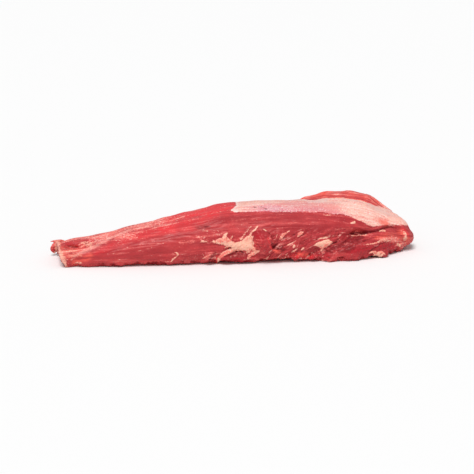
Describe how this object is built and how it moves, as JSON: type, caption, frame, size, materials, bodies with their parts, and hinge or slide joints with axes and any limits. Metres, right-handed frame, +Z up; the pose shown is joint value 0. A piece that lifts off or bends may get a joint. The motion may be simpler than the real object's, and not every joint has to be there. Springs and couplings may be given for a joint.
{
  "type": "beef tenderloin",
  "caption": "Whole raw beef tenderloin lying flat: a long tapering fillet with a thin cut tail, a thick butt with its side wing and head roll, silverskin on top and torn fat on the front.",
  "frame": {"origin": "middle of the base, on the surface that the meat lies on", "axes": "+X from the thin tail to the thick butt, +Y from the torn front with its fat to the back with the wing, +Z up"},
  "size_m": [0.4174, 0.1622, 0.0583],
  "materials": {
    "raw_beef": "moist raw beef, crimson with long fibres along the grain, half glossy, with pink silverskin over the top of the butt and cream fat on the torn front"
  },
  "bodies": {
    "root": {"tenderloin": "raw_beef"}
  },
  "joints": []
}
